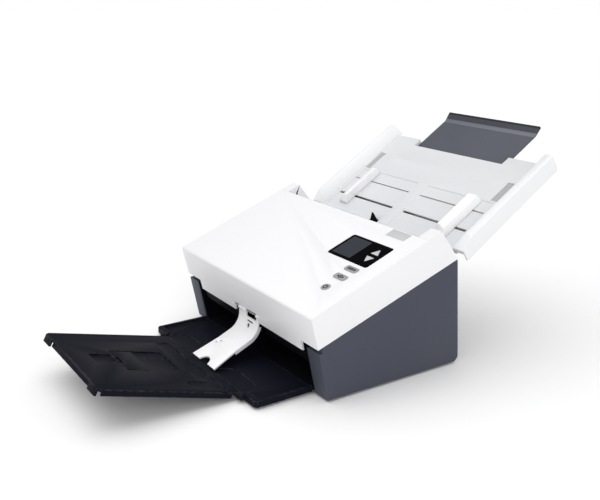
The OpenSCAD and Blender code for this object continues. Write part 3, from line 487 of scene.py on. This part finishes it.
def printed(name, body, shape, place):
    """A printed symbol: a flat shape given the thickness of ink and laid on its button's cap."""
    raised = bmesh.ops.extrude_face_region(shape, geom=shape.faces[:])
    top = [v for v in raised["geom"] if isinstance(v, bmesh.types.BMVert)]
    bmesh.ops.translate(shape, verts=top, vec=(0, 0, ink_thickness))
    bmesh.ops.recalc_face_normals(shape, faces=shape.faces)
    bmesh.ops.transform(shape, matrix=place, verts=shape.verts)
    mesh = bpy.data.meshes.new(name)
    shape.to_mesh(mesh)
    shape.free()
    mesh.materials.append(ink)
    made = bpy.data.objects.new(name, mesh)
    scene.collection.objects.link(made)
    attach(made, body)
    return made


cap_rise = 0.0006
half_depth = {"scan_button": 0.0044, "stop_button": 0.0047, "power_button": 0.0052}


def cap_centre(node):
    """The middle of a button's cap, standing proud of the cover by the cap's own height."""
    low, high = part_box(node)
    top_edge = (high.z - window_edge.z - cap_rise * cos(cover_slope)) / sin(cover_slope)
    return cover_face @ Matrix.Translation(
        ((low.x + high.x) / 2, top_edge - half_depth[node], cap_rise))


def bar(shape, x, y, width, height):
    made = bmesh.ops.create_grid(shape, x_segments=1, y_segments=1, size=0.5)
    bmesh.ops.scale(shape, vec=(width, height, 1), verts=made["verts"])
    bmesh.ops.translate(shape, vec=(x, y, 0), verts=made["verts"])


def ring(shape, inner, outer, first, last):
    """A flat ring or part of one, spun from a short line."""
    start = [shape.verts.new((inner * cos(first), inner * sin(first), 0)),
             shape.verts.new((outer * cos(first), outer * sin(first), 0))]
    line = shape.edges.new(start)
    bmesh.ops.spin(
        shape, geom=start + [line], axis=(0, 0, 1), cent=(0, 0, 0), angle=last - first, steps=28)


power_sign = bmesh.new()
ring(power_sign, 0.002, 0.0034, radians(122), radians(418))
bar(power_sign, 0, 0.0021, 0.0013, 0.0036)
printed("power_sign", "power_key", power_sign, cap_centre("power_button"))
stop_sign = bmesh.new()
ring(stop_sign, 0.0017, 0.0029, 0, 2 * pi)
bar(stop_sign, 0, 0, 0.0018, 0.0018)
for side in (-1, 1):
    bar(stop_sign, side * 0.0043, 0, 0.0018, 0.003)
printed("stop_sign", "stop_key", stop_sign, cap_centre("stop_button"))
scan_sign = bmesh.new()
for row in (-0.0014, 0.0, 0.0014):
    bar(scan_sign, -0.0012, row, 0.0112, 0.001)
bar(scan_sign, 0.0064, 0, 0.0024, 0.0038)
printed("scan_sign", "scan_key", scan_sign, cap_centre("scan_button"))


# Release pad: a grey-green key at the cover's rear edge, which draws the latch bar's hooks off
# the case when it is pressed.
pad_grey = moulded("pad_grey", (0.53, 0.56, 0.56), 0.5, depth=0.08, rub_and_highlight_share=0.15, specular=0.3)
softened("release_pad", 0.0005, pad_grey)


# Paper arm: a thin white forked arm that hangs from a steel pin in the skirt and steadies the
# sheets as they drop on the tray.
arm_white = moulded(
    "arm_white", (0.88, 0.882, 0.89), 0.36, depth=0.05, rub_and_highlight_share=0.3, specular=0.45, drift=0.98)
softened("paper_arm", 0.00035, arm_white)
finish("arm_pin", ground_steel)


# Input tray: a wide milky-white tray with raised side walls, recessed where the guides run, and a
# plain panel that closes its underside.
hopper = softened("input_tray", 0.0006, tray_white)
floor_white = moulded(
    "floor_white", (0.70, 0.705, 0.725), 0.45, depth=0.06, rub_and_highlight_share=0.35, specular=0.3, drift=0.97)
hopper.data.materials.append(floor_white)
pad_shade = moulded(
    "pad_shade", (0.42, 0.425, 0.44), 0.5, depth=0.1, rub_and_highlight_share=0.2, specular=0.25, drift=0.95)
hopper.data.materials.append(pad_shade)
tray_up = Vector(joint["extension_slide"]["axis"])
off_floor = Vector((0, -tray_up.z, tray_up.y))
floor_half_width = 0.137
pad_inner_edge = 0.121
pad_top, pad_foot = 0.05, 0.088
lies_flat = 0.99
tray_top = max(tray_up.dot(v.co) for v in hopper.data.vertices)
for face in hopper.data.polygons:
    from_top = tray_top - tray_up.dot(face.center)
    if abs(face.center.x) < floor_half_width and face.normal.dot(off_floor) > lies_flat:
        on_pad = abs(face.center.x) > pad_inner_edge and pad_top < from_top < pad_foot
        face.material_index = 2 if on_pad else 1
softened("tray_underside", 0.0004, tray_white)


# Paper guides: two white fences that slide in slots across the tray, joined below it by black
# racks on one pinion so that they stay centred.
softened("left_guide", 0.0003, arm_white)
softened("right_guide", 0.0003, arm_white)
rack_black = moulded("rack_acetal", (0.022, 0.022, 0.026), 0.35, scale=300, depth=0.04, rub_and_highlight_share=0.15)
finish("left_rack", rack_black)
finish("right_rack", rack_black)
finish("guide_pinion", acetal)


# Input extension: a dark grey sheet that pulls out of the tray's floor and ends in an upturned,
# nearly black lip.
extension_grey = moulded(
    "extension_grey", (0.076, 0.082, 0.106), 0.5, depth=0.14, rub_and_highlight_share=0.1, specular=0.25)
pull_out = softened("input_extension", 0.0004, extension_grey)
# The upturned end is painted in bands: its own nearly black rim, then a lighter grey as painted
# light that the lip catches as it turns up, then a lighter grey still as a painted highlight along
# the fold.
lip_black = moulded("lip_black", (0.018, 0.018, 0.024), 0.5, depth=0.14, rub_and_highlight_share=0.12, specular=0.15)
lip_painted_light = moulded("lip_painted_light", (0.05, 0.051, 0.064), 0.5, depth=0.14, rub_and_highlight_share=0.1, specular=0.25)
fold_painted_highlight = moulded("fold_painted_highlight", (0.15, 0.158, 0.19), 0.5, depth=0.1, rub_and_highlight_share=0.1, specular=0.25)
for coat in (lip_black, lip_painted_light, fold_painted_highlight):
    pull_out.data.materials.append(coat)
far_end = max(tray_up.dot(v.co) for v in pull_out.data.vertices)
# Widths of the bands from the far end: the black rim, the painted light on the lip, the painted
# highlight at the fold.
rim_reach = 0.0035
lit_lip_reach = 0.0105
fold_highlight_reach = 0.0165
split = bmesh.new()
split.from_mesh(pull_out.data)
for reach in (rim_reach, lit_lip_reach, fold_highlight_reach):
    bmesh.ops.bisect_plane(
        split, geom=split.verts[:] + split.edges[:] + split.faces[:],
        plane_co=tray_up * (far_end - reach), plane_no=tray_up)
for face in split.faces:
    from_end = far_end - tray_up.dot(face.calc_center_median())
    if from_end < rim_reach:
        face.material_index = 1
    elif from_end < lit_lip_reach:
        face.material_index = 2
    elif from_end < fold_highlight_reach:
        face.material_index = 3
split.to_mesh(pull_out.data)
split.free()


# Paper sensor flag: a small black triangular paddle that stands in a slot of the input tray and
# is tipped down the slope by the first sheet.
softened("sensor_flag", 0.0003, black)
